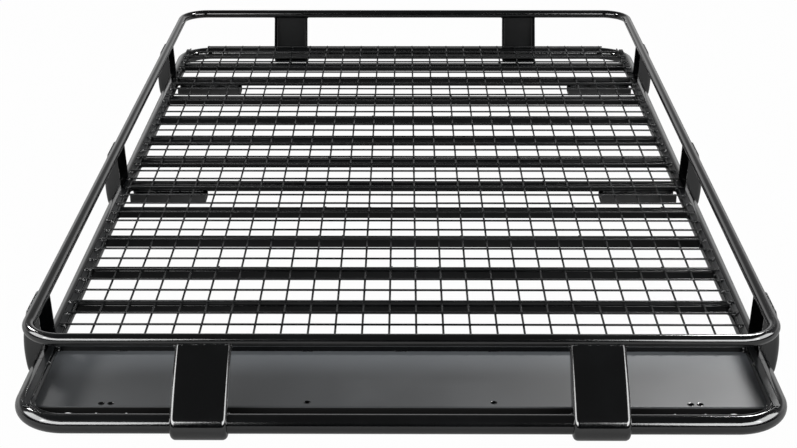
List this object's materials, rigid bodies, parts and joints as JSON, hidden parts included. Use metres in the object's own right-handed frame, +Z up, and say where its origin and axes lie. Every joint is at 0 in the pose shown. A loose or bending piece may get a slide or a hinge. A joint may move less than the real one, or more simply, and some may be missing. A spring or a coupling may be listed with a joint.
{
  "type": "roof rack",
  "caption": "Welded steel vehicle roof rack with a raised tube rail on curved channel uprights, box cross members, a wire mesh floor and a deflector sheet in the nose.",
  "frame": {"origin": "centre of the rack in plan, on the level on which its uprights stand", "axes": "+X to the right, +Y to the rear along the rack, +Z up; the nose with the deflector sheet points to -Y"},
  "size_m": [1.3478, 2.282, 0.1435],
  "materials": {
    "rail_coat": "gloss black powder coat on round tube",
    "frame_coat": "gloss black powder coat on pressed and box steel",
    "mesh_wire": "satin black powder coat on welded wire",
    "sheet_coat": "satin dark grey-black powder coat on flat sheet"
  },
  "bodies": {
    "root": {"lower_rail_left": "rail_coat", "lower_rail_right": "rail_coat", "top_rail_left": "rail_coat", "top_rail_right": "rail_coat", "front_upright_left": "frame_coat", "front_upright_right": "frame_coat", "side_upright_front_left": "frame_coat", "side_upright_front_right": "frame_coat", "side_upright_middle_left": "frame_coat", "side_upright_middle_right": "frame_coat", "side_upright_rear_left": "frame_coat", "side_upright_rear_right": "frame_coat", "rear_upright_left": "frame_coat", "rear_upright_right": "frame_coat", "cross_member_1": "frame_coat", "cross_member_2": "frame_coat", "cross_member_3": "frame_coat", "cross_member_4": "frame_coat", "cross_member_5": "frame_coat", "cross_member_6": "frame_coat", "cross_member_7": "frame_coat", "cross_member_8": "frame_coat", "cross_member_9": "frame_coat", "cross_member_10": "frame_coat", "cross_member_11": "frame_coat", "cross_member_12": "frame_coat", "mesh_front": "mesh_wire", "mesh_middle": "mesh_wire", "mesh_rear": "mesh_wire", "side_strip_left": "frame_coat", "side_strip_right": "frame_coat", "deflector_sheet": "sheet_coat", "mounting_channel_front_left": "frame_coat", "mounting_channel_front_right": "frame_coat", "mounting_channel_middle_left": "frame_coat", "mounting_channel_middle_right": "frame_coat", "mounting_channel_rear_left": "frame_coat", "mounting_channel_rear_right": "frame_coat"}
  },
  "joints": []
}
